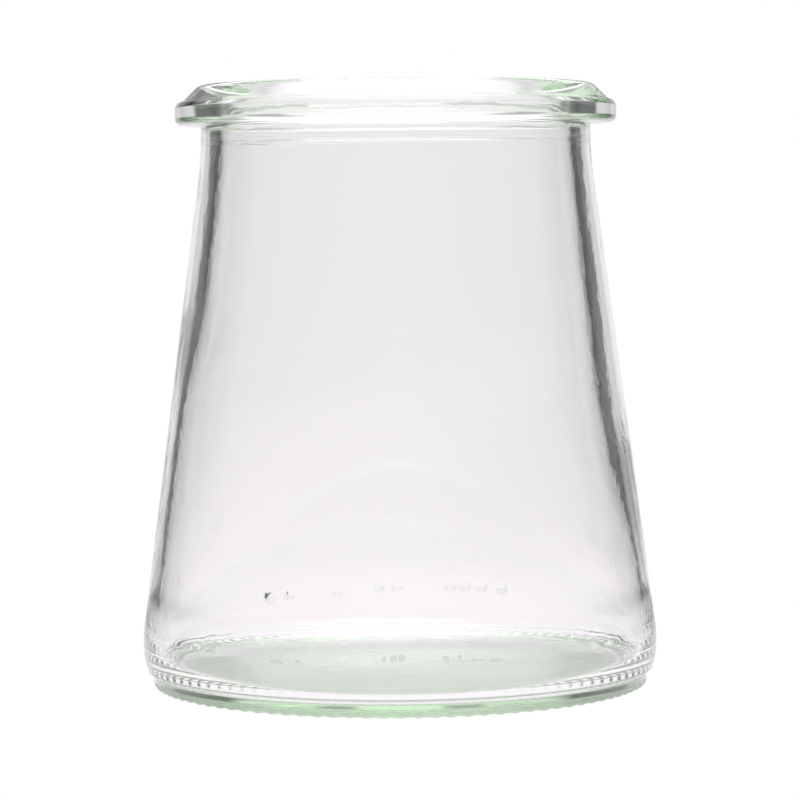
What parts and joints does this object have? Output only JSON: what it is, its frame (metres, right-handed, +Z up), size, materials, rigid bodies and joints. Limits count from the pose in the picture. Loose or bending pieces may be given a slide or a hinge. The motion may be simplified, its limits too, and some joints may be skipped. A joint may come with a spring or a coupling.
{
  "type": "canning jar",
  "caption": "Open clear-glass canning jar with a wide tapering body, a short neck and a thick round rim that takes a glass lid and sealing ring.",
  "frame": {"origin": "centre of the base, on the plane of the rib tips that the jar stands on", "axes": "+Z up along the jar's axis towards the open mouth; +Y towards the side with the row of small raised dots"},
  "size_m": [0.079, 0.0792, 0.0921],
  "materials": {
    "glass": "clear, smooth and glossy, faintly green where it is thick"
  },
  "bodies": {
    "root": {"glass_jar": "glass"}
  },
  "joints": []
}
